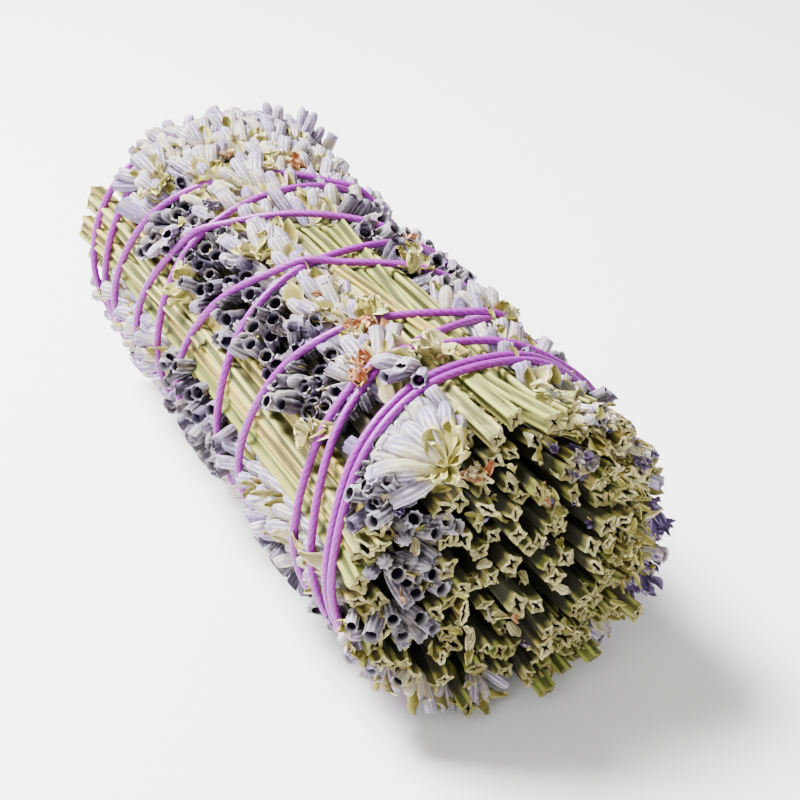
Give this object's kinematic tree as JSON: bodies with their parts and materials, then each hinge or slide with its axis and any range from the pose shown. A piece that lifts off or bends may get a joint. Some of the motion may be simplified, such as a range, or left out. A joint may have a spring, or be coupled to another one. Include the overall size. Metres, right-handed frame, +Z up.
{
  "type": "dried lavender bunch",
  "caption": "Round bunch of dried lavender, cut short at both ends, flower heads along its sides, wound with coloured string and lying on its side.",
  "frame": {"origin": "middle of the bunch's footprint, on the surface it lies on", "axes": "+Y along the bunch from the near cut end to the far one, +X to its right, +Z up"},
  "size_m": [0.0429, 0.1013, 0.0411],
  "materials": {
    "stem_straw": "dry, ribbed",
    "calyx_pale": "dry, downy",
    "calyx_dark": "dry, downy",
    "string_purple": "twisted, slightly glossy"
  },
  "bodies": {
    "root": {"head_left_1": "calyx_pale", "head_left_2": "calyx_dark", "head_left_3": "calyx_pale", "head_lower_left_1": "calyx_dark", "head_lower_left_2": "calyx_pale", "head_lower_left_3": "calyx_pale", "head_lower_right_1": "calyx_pale", "head_lower_right_2": "calyx_pale", "head_lower_right_3": "calyx_dark", "head_near_rim_left_1": "calyx_dark", "head_near_rim_top_1": "calyx_pale", "head_right_1": "calyx_dark", "head_right_2": "calyx_pale", "head_right_3": "calyx_pale", "head_top_1": "calyx_pale", "head_top_left_1": "calyx_pale", "head_top_left_2": "calyx_pale", "head_top_left_3": "calyx_pale", "head_under_1": "calyx_dark", "head_under_2": "calyx_dark", "head_under_3": "calyx_dark", "head_under_left_1": "calyx_pale", "head_under_left_2": "calyx_dark", "head_under_left_3": "calyx_pale", "head_under_right_1": "calyx_pale", "head_under_right_2": "calyx_dark", "head_under_right_3": "calyx_pale", "head_upper_left_1": "calyx_dark", "head_upper_left_2": "calyx_dark", "head_upper_left_3": "calyx_pale", "head_upper_right_1": "calyx_pale", "head_upper_right_2": "calyx_dark", "head_upper_right_3": "calyx_pale", "stems": "stem_straw", "string": "string_purple"}
  },
  "joints": []
}
